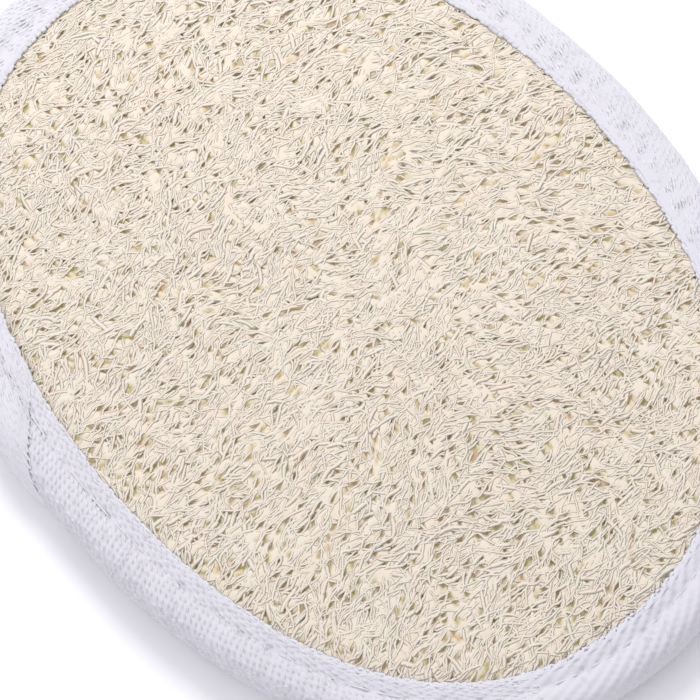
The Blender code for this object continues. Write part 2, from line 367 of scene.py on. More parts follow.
@dataclass
class Heap:
    """Closed shapes that share one mesh, with a tone, a depth and a flank share for each point."""

    points: list[np.ndarray] = field(default_factory=list)
    quads: list[np.ndarray] = field(default_factory=list)
    triangles: list[np.ndarray] = field(default_factory=list)
    tones: list[np.ndarray] = field(default_factory=list)
    depths: list[np.ndarray] = field(default_factory=list)
    flanks: list[np.ndarray] = field(default_factory=list)
    flats: list[np.ndarray] = field(default_factory=list)
    count: int = 0

    def add(
        self,
        points: np.ndarray,
        quads: np.ndarray,
        triangles: np.ndarray,
        tone: np.ndarray,
        depth: np.ndarray,
        flat: np.ndarray | bool = False,
        flank: np.ndarray | float = 0.6,
    ) -> None:
        """Add shapes.

        Args:
            points: Points, one a row.
            quads: Four-sided faces by point number.
            triangles: Three-sided faces by point number.
            tone: A random tone for each point, from 0 to 1.
            depth: How deep each point lies, from 0 to 1, which the finishes turn into painted shade.
            flat: Which of the four-sided faces stay flat and keep crisp edges.
            flank: How far each point lies from a strand's ridge, from 0 to 1, which the fibre finish turns
                into painted shade on the flanks.
        """
        self.flats.append(np.broadcast_to(flat, (quads.size // 4,)))
        self.points.append(points.reshape(-1, 3))
        self.quads.append(quads.reshape(-1, 4) + self.count)
        self.triangles.append(triangles.reshape(-1, 3) + self.count)
        size = len(self.points[-1])
        self.tones.append(np.broadcast_to(tone, (size,)))
        self.depths.append(np.broadcast_to(depth, (size,)))
        self.flanks.append(np.broadcast_to(flank, (size,)))
        self.count += size

    def add_tubes(
        self,
        lines: np.ndarray,
        widths: np.ndarray,
        heights: np.ndarray,
        ups: np.ndarray,
        tones: np.ndarray,
        depths: np.ndarray,
        sides: int = 3,
        crisp: bool = False,
    ) -> None:
        """Add closed tubes along lines.

        Args:
            lines: Centre lines, as (tube, point, 3).
            widths: Half-widths, as (tube, point).
            heights: Half-heights, as (tube, point).
            ups: The direction of each tube's upper edge, as (tube, 3).
            tones: A tone for each tube.
            depths: A depth for each tube, or for each of its points.
            sides: Number of sides.
            crisp: Whether the underside meets the upper sides at a crisp edge.
        """
        tubes, steps = lines.shape[:2]
        ahead = np.gradient(lines, axis=1)
        sideways = unit(np.cross(ahead, np.broadcast_to(ups[:, None, :], lines.shape)))
        upward = unit(np.cross(sideways, ahead))
        turn = math.pi / 2.0 + math.tau * np.arange(sides) / sides
        aside = sideways[:, :, None] * (widths[..., None] * np.cos(turn))[..., None]
        aloft = upward[:, :, None] * (heights[..., None] * np.sin(turn))[..., None]
        points = lines[:, :, None] + (aside + aloft)
        number = np.arange(tubes * steps * sides).reshape(tubes, steps, sides)
        beside = np.roll(number, -1, axis=2)
        quads = np.stack([number[:, 1:], beside[:, 1:], beside[:, :-1], number[:, :-1]], axis=-1)
        fans = []
        for corner in range(1, sides - 1):
            fans.append(number[:, 0, [corner + 1, corner, 0]])
            fans.append(number[:, -1, [corner, corner + 1, 0]])
        if depths.ndim == 1:
            depths = np.repeat(depths, steps)
        under = np.zeros(quads.shape[:3], dtype=bool)
        under[:, :, sides // 2] = crisp
        tone = np.repeat(tones, steps * sides)
        depth = np.repeat(depths.ravel(), sides)
        flank = np.tile(np.arange(sides) > 0, tubes * steps).astype(float)
        self.add(points, quads, np.concatenate(fans), tone, depth, under.ravel(), flank)

    def join(self, other: "Heap") -> None:
        """Take over the shapes of another heap.

        Args:
            other: The other heap.
        """
        self.quads += [rows + self.count for rows in other.quads]
        self.triangles += [rows + self.count for rows in other.triangles]
        for name in ("points", "tones", "depths", "flanks", "flats"):
            getattr(self, name).extend(getattr(other, name))
        self.count += other.count

    def triangle_count(self) -> int:
        """Count the triangles that the shapes have."""
        return sum(2 * len(quads) for quads in self.quads) + sum(len(rows) for rows in self.triangles)

    def build(self, name: str, material: bpy.types.Material, slot: str, node: str) -> bpy.types.Object:
        """Make the mesh and dress it as one piece of the pad.

        Args:
            name: The piece's name.
            material: Its finish.
            slot: The name of a material slot; not used.
            node: The node that the piece stands for.

        Returns:
            The piece.
        """
        points = np.concatenate(self.points)
        quads = np.concatenate(self.quads)
        triangles = np.concatenate(self.triangles)
        corners = np.concatenate([quads.ravel(), triangles.ravel()]).astype(np.int32)
        sizes = np.repeat([4, 3], [len(quads), len(triangles)])
        starts = (np.cumsum(sizes) - sizes).astype(np.int32)
        mesh = bpy.data.meshes.new(name)
        mesh.vertices.add(len(points))
        mesh.vertices.foreach_set("co", points.astype(np.float32).ravel())
        mesh.loops.add(len(corners))
        mesh.loops.foreach_set("vertex_index", corners)
        mesh.polygons.add(len(starts))
        mesh.polygons.foreach_set("loop_start", starts)
        mesh.update(calc_edges=True)
        for label, values in (("tone", self.tones), ("depth", self.depths), ("flank", self.flanks)):
            layer = mesh.attributes.new(label, "FLOAT", "POINT")
            layer.data.foreach_set("value", np.concatenate(values).astype(np.float32))
        mesh.shade_smooth()
        sharp = mesh.attributes.get("sharp_face") or mesh.attributes.new("sharp_face", "BOOLEAN", "FACE")
        flat = np.concatenate(self.flats + [np.zeros(len(triangles), dtype=bool)])
        sharp.data.foreach_set("value", flat)
        mesh.materials.append(material)
        piece = add_object(name, mesh)
        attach(piece, "root")
        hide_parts(node)
        LOG.info("%s: %d triangles", name, self.triangle_count())
        return piece


def add_object(name: str, data: bpy.types.ID) -> bpy.types.Object:
    """Put a mesh, a lamp or a camera into the scene.

    Args:
        name: The object's name.
        data: The mesh, the lamp or the camera.

    Returns:
        The object.
    """
    made = bpy.data.objects.new(name, data)
    bpy.context.scene.collection.objects.link(made)
    return made


def set_up(thing: bpy.types.Object, place: Vector, ahead: Vector) -> None:
    """Set a lamp or a camera at a place, so that it faces one way.

    Args:
        thing: The lamp or the camera.
        place: Where it goes.
        ahead: The way that it faces.
    """
    thing.location = place
    thing.rotation_mode = "QUATERNION"
    thing.rotation_quaternion = ahead.to_track_quat("-Z", "Y")


def grid_faces(rows: int, columns: int, ring_rows: bool, ring_columns: bool = False) -> np.ndarray:
    """Number the faces of a grid of points.

    Args:
        rows: Points along the first way.
        columns: Points along the second way.
        ring_rows: Whether the first way runs round to its start.
        ring_columns: Whether the second way runs round to its start.

    Returns:
        Four point numbers for each face.
    """
    number = np.arange(rows * columns).reshape(rows, columns)
    if ring_rows:
        number = np.concatenate([number, number[:1]])
    if ring_columns:
        number = np.concatenate([number, number[:, :1]], axis=1)
    corners = [number[:-1, :-1], number[:-1, 1:], number[1:, 1:], number[1:, :-1]]
    return np.stack(corners, axis=-1).reshape(-1, 4)


def closed_rings(
    points: np.ndarray, first_middle: np.ndarray, last_middle: np.ndarray
) -> tuple[np.ndarray, np.ndarray, np.ndarray]:
    """Close a stack of rings with a fan of triangles at each end.

    Args:
        points: The rings' points, as (place round the ring, ring, 3).
        first_middle: The middle of the first ring's fan.
        last_middle: The middle of the last ring's fan.

    Returns:
        The points, one a row, with the two middles last, the four-sided faces and the triangles.
    """
    count, rings = points.shape[:2]
    first = np.arange(count) * rings
    last = first + rings - 1
    middle = np.full(count, count * rings)
    below = np.stack([middle, first, np.roll(first, -1)], axis=-1)
    above = np.stack([middle + 1, np.roll(last, -1), last], axis=-1)
    everything = np.concatenate([points.reshape(-1, 3), [first_middle, last_middle]])
    return everything, grid_faces(count, rings, True), np.concatenate([below, above])


@dataclass
class Nodes:
    """A small helper that adds shader nodes to one material."""

    material: bpy.types.Material

    def add(self, kind: str, inputs: dict[str | int, object], **values: object) -> bpy.types.Node:
        """Add a node.

        Args:
            kind: The node's type.
            inputs: What goes into its inputs.
            values: Its properties, by name.

        Returns:
            The node.
        """
        node = self.material.node_tree.nodes.new(kind)
        for name, value in values.items():
            setattr(node, name, value)
        self.feed(node, inputs)
        return node

    def feed(self, node: bpy.types.Node, inputs: dict[str | int, object]) -> None:
        """Fill a node's inputs.

        Args:
            node: The node.
            inputs: A plain value or the socket that gives it, by the input's name or number.
        """
        for name, value in inputs.items():
            if isinstance(value, bpy.types.NodeSocket):
                self.material.node_tree.links.new(value, node.inputs[name])
            else:
                node.inputs[name].default_value = value

    def reading(self, name: str) -> bpy.types.NodeSocket:
        """Read one of the mesh's own values, such as its tone."""
        return self.add("ShaderNodeAttribute", {}, attribute_name=name).outputs["Fac"]

    def noise(self, scale: float, detail: float, along: float = 1.0) -> bpy.types.NodeSocket:
        """Add a noise in the pad's own space.

        Args:
            scale: Waves to the metre.
            detail: Number of finer octaves.
            along: Scale along Y, less than 1 where the noise is drawn out that way.

        Returns:
            The noise's value.
        """
        space = self.add("ShaderNodeTexCoord", {}).outputs["Object"]
        mapping = self.add("ShaderNodeMapping", {"Vector": space, "Scale": (1.0, along, 1.0)})
        inputs = {"Scale": scale, "Detail": detail, "Vector": mapping.outputs["Vector"]}
        return self.add("ShaderNodeTexNoise", inputs).outputs["Fac"]

    def ramp(self, value: bpy.types.NodeSocket, stops: list[tuple[float, tuple]]) -> bpy.types.NodeSocket:
        """Turn a value into a colour.

        Args:
            value: The value to read.
            stops: Positions and linear colours.

        Returns:
            The colour.
        """
        node = self.add("ShaderNodeValToRGB", {"Fac": value})
        band = node.color_ramp
        while len(band.elements) < len(stops):
            band.elements.new(0.5)
        for element, (position, colour) in zip(band.elements, stops):
            element.position = position
            element.color = (*colour, 1.0)
        return node.outputs["Color"]

    def mix(
        self,
        share: bpy.types.NodeSocket,
        first: bpy.types.NodeSocket | tuple,
        second: bpy.types.NodeSocket | tuple,
        blend: str = "MIX",
    ) -> bpy.types.NodeSocket:
        """Blend two colours.

        Args:
            share: How much of the second colour shows.
            first: A colour, or the socket that gives it.
            second: A colour, or the socket that gives it.
            blend: Name of the blend.

        Returns:
            The blended colour.
        """
        inputs = {"Factor": share}
        for number, colour in ((6, first), (7, second)):
            inputs[number] = (*colour, 1.0) if isinstance(colour, tuple) else colour
        return self.add("ShaderNodeMix", inputs, data_type="RGBA", blend_type=blend).outputs[2]

    def span(
        self, value: bpy.types.NodeSocket, low: float, high: float, out_high: float = 1.0
    ) -> bpy.types.NodeSocket:
        """Stretch a value so that it rises from 0 at the low end to out_high at the high one."""
        inputs = {"Value": value, "From Min": low, "From Max": high, "To Max": out_high}
        return self.add("ShaderNodeMapRange", inputs).outputs["Result"]

    def bump(self, height: bpy.types.NodeSocket, depth: float, strength: float) -> bpy.types.NodeSocket:
        """Make a normal from a height, where a height of 1 stands for a depth in metres."""
        inputs = {"Height": height, "Distance": depth, "Strength": strength}
        return self.add("ShaderNodeBump", inputs).outputs["Normal"]


def new_material(name: str) -> tuple[bpy.types.Material, Nodes, bpy.types.Node]:
    """Start a material.

    Args:
        name: Its name.

    Returns:
        The material, its node helper and its surface.
    """
    material = bpy.data.materials.new(name)
    material.use_nodes = True
    return material, Nodes(material), material.node_tree.nodes["Principled BSDF"]


@dataclass(frozen=True)
class FibreFinish:
    """Dried loofah fibre: cream and a little waxy. It carries painted light: a painted highlight on each
    fibre's ridge with painted shade on its flanks, warmer darker painted shade in crevices, and olive and
    tan painted shade in the pits.
    """

    name: str = "loofah fibre"
    cream: tuple[float, float, float] = (0.735, 0.664, 0.565)
    pink: tuple[float, float, float] = (0.743, 0.645, 0.569)
    pale: tuple[float, float, float] = (0.729, 0.676, 0.609)
    green: tuple[float, float, float] = (0.697, 0.675, 0.557)
    # Painted shade: multiplies the colour towards each fibre's flanks, which leaves a painted highlight
    # along its ridge.
    flank: tuple[float, float, float] = (0.990, 0.965, 0.920)
    # Painted shade for crevices and where fibres dive, darker and warmer than the tops; also the colour of
    # the random streaks.
    hollow_shade_and_streak: tuple[float, float, float] = (0.690, 0.610, 0.445)
    # Painted shade in the pits, olive and tan.
    olive: tuple[float, float, float] = (0.54, 0.48, 0.19)
    tan: tuple[float, float, float] = (0.67, 0.42, 0.23)
    patch_waves: float = 330.0
    streak_waves: float = 2600.0
    grain_waves: float = 9000.0
    grain_depth: float = 0.03 * MM
    roughness: float = 0.62
    shine: float = 0.3

    def build(self) -> bpy.types.Material:
        """Make the material.

        Returns:
            The fibre's finish.
        """
        material, nodes, surface = new_material(self.name)
        stops = [(0.0, self.pink), (0.3, self.cream), (0.75, self.pale), (1.0, self.green)]
        ridge = nodes.ramp(nodes.reading("tone"), stops)
        # Painted highlight on each fibre's ridge, painted shade on its flanks.
        fibre = nodes.mix(nodes.span(nodes.reading("flank"), 0.05, 0.65), ridge, self.flank, "MULTIPLY")
        patch = nodes.noise(self.patch_waves, 3.0, 0.6)
        shade = nodes.mix(nodes.span(patch, 0.45, 0.62), self.olive, self.tan)
        depth = nodes.reading("depth")
        # Painted shade: the crevice colour comes in with depth.
        lit = nodes.mix(nodes.span(depth, 0.06, 0.14), fibre, self.hollow_shade_and_streak)
        streak = nodes.noise(self.streak_waves, 2.0, 0.2)
        grained = nodes.mix(nodes.span(streak, 0.50, 0.80, 0.35), lit, self.hollow_shade_and_streak)
        # Painted shade: olive and tan deepen into the pits with depth.
        colour = nodes.mix(nodes.span(depth, 0.16, 0.40, 0.88), grained, shade)
        grain = nodes.bump(nodes.noise(self.grain_waves, 2.0, 0.25), self.grain_depth, 0.25)
        look = {"Base Color": colour, "Normal": grain, "Roughness": self.roughness}
        nodes.feed(surface, look | {"Specular IOR Level": self.shine})
        return material


@dataclass(frozen=True)
class CottonFinish:
    """Bleached cotton yarn: a cool white with soft fuzz, with painted shade laid on by depth and a random
    cloud of the same shade colour.
    """

    name: str
    white: tuple[float, float, float] = (0.700, 0.697, 0.741)
    shade: tuple[float, float, float] = (0.600, 0.590, 0.662)
    warm: tuple[float, float, float] = (0.642, 0.629, 0.675)
    cloud_waves: float = 160.0
    yarn_waves: float = 7000.0
    yarn_depth: float = 0.04 * MM
    roughness: float = 0.9
    shine: float = 0.2
    sheen: float = 0.25
    sheen_roughness: float = 0.5

    def build(self) -> bpy.types.Material:
        """Make the material.

        Returns:
            The cotton's finish.
        """
        material, nodes, surface = new_material(self.name)
        tone = nodes.ramp(nodes.reading("tone"), [(0.0, self.warm), (1.0, self.white)])
        depth = nodes.span(nodes.reading("depth"), 0.0, 1.0)
        cloud = nodes.span(nodes.noise(self.cloud_waves, 2.0), 0.3, 0.8, 0.12)
        # Painted shade by the given depth, then a random cloud of the shade colour.
        painted_shade_and_cloud = nodes.mix(cloud, nodes.mix(depth, tone, self.shade), self.shade)
        yarn = nodes.bump(nodes.noise(self.yarn_waves, 3.0), self.yarn_depth, 0.35)
        look = {"Base Color": painted_shade_and_cloud, "Normal": yarn, "Roughness": self.roughness}
        soft = {"Sheen Weight": self.sheen, "Sheen Roughness": self.sheen_roughness}
        nodes.feed(surface, look | soft | {"Specular IOR Level": self.shine})
        return material


@dataclass(frozen=True)
class FibreLot:
    """How the fibres of one layer are laid; spread is in degrees off the grain."""

    count: int
    steps: int
    spread: float
    drop: float
    half_width: float
    length: float
    seed: int


@dataclass
class LoofahSlab:
    """The loofah: a felted bed with layers of curved fibres that part round small pits.

    The body lists the bed's hidden under side and rim, as (distance in from the edge, height). Flatness
    is the height of a fibre for its width, and a web is one of the few wide, thin and straight fibres.
    """

    body: tuple[tuple[float, float], ...] = (
        (14.3 * MM, 1.85 * MM),
        (12.0 * MM, 2.1 * MM),
        (10.2 * MM, 2.95 * MM),
        (8.8 * MM, 4.3 * MM),
        (1.7 * MM, 4.4 * MM),
        (1.3 * MM, 5.3 * MM),
        (1.7 * MM, 6.2 * MM),
        (2.7 * MM, 6.5 * MM),
        (5.3 * MM, 6.5 * MM),
        (6.8 * MM, 6.5 * MM),
    )
    # The hidden under side and rim count as deep, so they take the painted pit shade.
    body_depth: float = 0.9
    edge_inset: float = 8.0 * MM
    edge_height: float = 8.10 * MM
    shoulder_height: float = 8.45 * MM
    crown_height: float = 9.35 * MM
    shoulder_width: float = 2.2 * MM
    tape_press: float = 1.3 * MM
    lumps: tuple[Swell, ...] = (Swell(0.16 * MM, 9.0 * MM, 3), Swell(0.06 * MM, 3.4 * MM, 4))
    webs: tuple[Swell, ...] = (Swell(0.014 * MM, 2.4 * MM, 31), Swell(0.012 * MM, 1.3 * MM, 32))
    bed_tone: Swell = Swell(0.5, 2.2 * MM, 33)
    bed_drop: float = 0.074 * MM
    bed_pitch: float = 0.72 * MM
    lie_middle: float = math.radians(91.0)
    lie_fan: float = math.radians(-0.30) / MM
    swirls: tuple[Swell, ...] = (
        Swell(math.radians(18.0), 11.0 * MM, 11),
        Swell(math.radians(34.0), 3.6 * MM, 12),
    )
    pit_pitch: float = 1.65 * MM
    pit_seed: int = 21
    pit_depth: float = 0.55 * MM
    open_pit: float = 0.17 * MM
    full_depth: float = 1.5 * MM
    hidden_inset: float = 5.6 * MM
    flatness: float = 0.060
    web_share: float = 0.12
    web_wobble: float = 0.35
    web_width: float = 1.8
    web_flatness: float = 0.045
    lots: dict[FibreLayer, FibreLot] = field(
        default_factory=lambda: {
            FibreLayer.DEEP: FibreLot(10700, 5, 40.0, 0.068 * MM, 0.240 * MM, 2.8 * MM, 51),
            FibreLayer.MIDDLE: FibreLot(9000, 6, 30.0, 0.060 * MM, 0.230 * MM, 3.4 * MM, 52),
            FibreLayer.FACE: FibreLot(7600, 7, 22.0, 0.053 * MM, 0.215 * MM, 3.8 * MM, 53),
        }
    )

    def top(self, points: np.ndarray) -> np.ndarray:
        """Give the height of the fibres' upper surface.

        Args:
            points: Flat places, one a row.

        Returns:
            The height at each place.
        """
        inset = OUTLINE.inset_of(points)
        crown = smooth_step(inset, self.edge_inset, OUTLINE.half_width)
        crown = crown * (self.crown_height - self.shoulder_height)
        rise = smooth_step(inset, self.edge_inset - 0.2 * MM, self.edge_inset + self.shoulder_width)
        lumps = add_swells(self.lumps, points[:, 0], points[:, 1])
        clear = smooth_step(inset, 5.2 * MM, self.edge_inset - 0.4 * MM)
        edge = self.edge_height - self.tape_press * (1.0 - clear)
        return edge + (self.shoulder_height - self.edge_height + crown + lumps) * rise

    def lie(self, x: np.ndarray, y: np.ndarray) -> np.ndarray:
        """Give the angle from X at which the fibres lie at each place."""
        return add_swells(self.swirls, x, y, self.lie_middle + self.lie_fan * y)

    def scatter(
        self, draw: np.random.Generator, count: int, inset: float, loose: float = 1.0
    ) -> np.ndarray:
        """Spread places evenly over the face.

        Args:
            draw: Source of random numbers.
            count: How many places to try for.
            inset: How far in from the outermost edge they stay.
            loose: How far each may stray, as a share of the distance to the next.

        Returns:
            Flat places, one a row.
        """
        pitch = math.sqrt(4.0 * OUTLINE.half_length * OUTLINE.half_width / count)
        cells = OUTLINE.cells(pitch)
        places = cells + draw.uniform(0.0, pitch * loose, cells.shape)
        return places[OUTLINE.inset_of(places) > inset]

    def pits(self) -> tuple[np.ndarray, np.ndarray, np.ndarray]:
        """Choose the pits that the fibres part round.

        Returns:
            Their places, half-lengths and half-widths.
        """
        draw = np.random.default_rng(self.pit_seed)
        area = 4.0 * OUTLINE.half_length * OUTLINE.half_width
        places = self.scatter(draw, int(area / self.pit_pitch**2), self.edge_inset + 0.2 * MM, 0.75)
        size = draw.uniform(0.0, 1.0, len(places)) ** 2.4
        return places, (0.32 + 0.46 * size) * MM, (0.11 + 0.16 * size) * MM

    def meet_pits(self, flat: np.ndarray) -> np.ndarray:
        """Move the nearest point of the bed to the middle of each pit.

        Args:
            flat: Flat places, one a row.

        Returns:
            The same places with one in each pit.
        """
        tree = search_tree(flat)
        moved = flat.copy()
        for x, y in self.pits()[0]:
            _, index, away = tree.find(Vector((x, y, 0.0)))
            if away < 0.5 * MM:
                moved[index] = (x, y)
        return moved

    def pit_frame(self, flat: np.ndarray) -> tuple[np.ndarray, ...]:
        """Measure places from their nearest pit.

        Args:
            flat: Flat places, one a row.

        Returns:
            Distances along and across the pit, its half-length, its half-width and its crosswise direction.
        """
        places, lengths, widths = self.pits()
        tree = search_tree(places)
        nearest = np.array([tree.find(Vector((x, y, 0.0)))[1] for x, y in flat])
        away = flat - places[nearest]
        ahead = direction(self.lie(places[nearest, 0], places[nearest, 1]))
        beside = left_of(ahead)
        along = (away * ahead).sum(axis=1)
        across = (away * beside).sum(axis=1)
        return along, across, lengths[nearest], widths[nearest], beside

    def part_round_pits(self, lines: np.ndarray) -> np.ndarray:
        """Push fibres aside from the pits.

        Args:
            lines: Flat centre lines, as (fibre, point, 2).

        Returns:
            The same lines, bent round the pits.
        """
        flat = lines.reshape(-1, 2)
        along, across, length, width, beside = self.pit_frame(flat)
        lens = np.maximum(1.0 - (along / (1.25 * length)) ** 2, 0.0)
        room = (1.35 * width * lens) ** 2 * np.exp(-np.abs(across) / (1.2 * MM))
        clear = np.sqrt(across**2 + room)
        pushed = flat + beside * (np.where(across < 0.0, -clear, clear) - across)[:, None]
        return pushed.reshape(lines.shape)

    def bars_pit(self, lines: np.ndarray) -> np.ndarray:
        """Find the fibres that would lie across an open pit.

        Args:
            lines: Flat centre lines, as (fibre, point, 2).

        Returns:
            True for each such fibre.
        """
        between = (lines[:, 1:] + lines[:, :-1]) / 2.0
        ahead = unit(lines[:, 1:] - lines[:, :-1]).reshape(-1, 2)
        along, across, length, width, beside = self.pit_frame(between.reshape(-1, 2))
        steep = np.abs((ahead * beside).sum(axis=1)) > 0.42
        over = (along / (1.1 * length)) ** 2 + (across / (1.5 * width)) ** 2 < 1.0
        barred = steep & over & (width > self.open_pit)
        return barred.reshape(between.shape[:2]).any(axis=1)

    def fibres(self, lot: FibreLot) -> Heap:
        """Lay one layer of fibres.

        Args:
            lot: How the layer is laid.

        Returns:
            The fibres' shapes.
        """
        draw = np.random.default_rng(lot.seed)
        starts = self.scatter(draw, lot.count, self.edge_inset - 0.9 * MM)
        number = len(starts)
        turn = math.radians(lot.spread) * draw.standard_normal(number)
        bend = draw.normal(0.0, 0.15 / MM, number)
        wave = draw.uniform(1.6 * MM, 3.2 * MM, number)
        phase = draw.uniform(0.0, math.tau, number)
        web = draw.uniform(0.0, 1.0, number) < self.web_share
        wobble = math.radians(20.0) * draw.uniform(0.3, 1.3, number) * np.where(web, self.web_wobble, 1.0)
        step = lot.length * draw.uniform(0.55, 1.4, number) / lot.steps
        first = -(lot.steps // 2)
        lines = np.zeros((number, lot.steps + 1, 2))
        lines[:, -first] = starts
        for sense, hops in ((-1, -first), (1, lot.steps + first)):
            here = starts.copy()
            travelled = np.zeros(number)
            for hop in range(1, hops + 1):
                curl = wobble * np.sin(math.tau * travelled / wave + phase)
                heading = self.lie(here[:, 0], here[:, 1]) + turn + bend * travelled + curl
                here = here + sense * step[:, None] * direction(heading)
                travelled += sense * step
                lines[:, -first + sense * hop] = here
        lines = self.part_round_pits(lines)
        flat = lines.reshape(-1, 2)
        inset = OUTLINE.inset_of(flat)
        inside = (inset.reshape(number, -1) > self.hidden_inset).all(axis=1)
        inside &= ~self.bars_pit(lines)
        surface = self.top(flat).reshape(number, -1)
        share = np.abs(np.linspace(-1.0, 1.0, lot.steps + 1))
        dive = 0.05 * MM * share**3 * draw.uniform(0.5, 1.0, (number, 1))
        ripple = 0.009 * MM * draw.standard_normal((number, lot.steps + 1))
        sink = lot.drop + 0.007 * MM * draw.standard_normal((number, 1))
        height = surface - sink - dive + ripple
        line = np.concatenate([lines, height[..., None]], axis=-1)[inside]
        kept = int(inside.sum())
        half = lot.half_width * draw.uniform(0.7, 1.35, kept)
        taper = 1.0 - 0.5 * share**3
        web = web[inside]
        width = (half * np.where(web, self.web_width, 1.0))[:, None] * taper
        thick = (half * np.where(web, self.web_flatness, self.flatness))[:, None] * taper
        # How deep each point lies below the surface; the finish paints shade by it.
        depth = np.clip((surface[inside] - line[..., 2]) / self.full_depth, 0.0, 1.0)
        ups = np.tile([0.0, 0.0, 1.0], (kept, 1))
        tones = draw.uniform(0.0, 1.0, kept)
        heap = Heap()
        heap.add_tubes(line, width, thick, ups, tones, depth, crisp=True)
        return heap

    def bed(self) -> Heap:
        """Make the closed slab under the fibres.

        Returns:
            The slab's shape.
        """
        angle = OUTLINE.round_angles(12.0 * MM, self.bed_pitch)
        count = len(angle)
        rings = [OUTLINE.place(angle, inset, height) for inset, height in self.body]
        depths = [np.full(count, self.body_depth)] * len(rings)
        hem_inset = 14.0 * MM
        hem = OUTLINE.place(angle, hem_inset, 0.0)
        middle = hem.mean(axis=0)
        insets = np.arange(7.6 * MM, hem_inset, self.bed_pitch)
        flats = [OUTLINE.place(angle, inset, 0.0) for inset in insets]
        steps = int(OUTLINE.half_width / self.bed_pitch * 0.78)
        flats += [middle + (hem - middle) * share for share in np.linspace(1.0, 1.0 / steps, steps)]
        sheet = np.stack(flats)
        sheet[..., :2] = self.meet_pits(sheet[..., :2].reshape(-1, 2)).reshape(*sheet.shape[:2], 2)
        for flat in sheet:
            ring, depth = self.felt(flat)
            rings.append(ring)
            depths.append(depth)
        points = np.stack(rings, axis=1)
        centre, deep = self.felt(middle[None, :])
        under_middle = points[:, 0].mean(axis=0)
        everything, quads, fans = closed_rings(points, under_middle, centre[0])
        depth = np.concatenate([np.stack(depths, axis=1).ravel(), [self.body_depth], deep])
        tones = self.bed_tone.at(everything[:, 0], everything[:, 1]) + 0.5
        heap = Heap()
        # The bed takes the default flank share of 0.6, so it carries most of the painted flank shade.
        heap.add(everything, quads, fans, tones, depth)
        return heap

    def felt(self, ring: np.ndarray) -> tuple[np.ndarray, np.ndarray]:
        """Set points at the height of the felted bed, which webs up between fibres and sinks in the pits.

        Args:
            ring: Points, of which X and Y are kept.

        Returns:
            The points at their new heights, and how deep they lie from 0 to 1.
        """
        along, across, length, width, _ = self.pit_frame(ring[:, :2])
        near = (along / (1.15 * length)) ** 2 + (across / (1.25 * width)) ** 2
        pit = self.pit_depth * np.exp(-(near**1.5)) * smooth_step(width, 0.11 * MM, self.open_pit)
        web = add_swells(self.webs, ring[:, 0], ring[:, 1])
        surface = self.top(ring)
        height = surface - self.bed_drop + web - pit
        points = np.concatenate([ring[:, :2], height[:, None]], axis=1)
        # How deep each point lies, which the finish paints as shade.
        return points, np.clip((surface - height) / self.full_depth, 0.0, 1.0)

    def build(self) -> None:
        """Make the loofah's pieces and dress them."""
        fibre = FibreFinish().build()
        self.bed().build("loofah_bed", fibre, "loofah_fibre", "loofah_pad")
        for layer, lot in self.lots.items():
            heap = self.fibres(lot)
            heap.build(f"loofah_fibres_{layer.value}", fibre, "loofah_fibre", "loofah_pad")


@dataclass(frozen=True)
class WeavePatch:
    """A stretch of the tape, between two angles and two distances across, whose floats lean one way."""

    start: float
    end: float
    low: float
    high: float
    lean: float
    pitch: float
    spacing: float
    thick: float


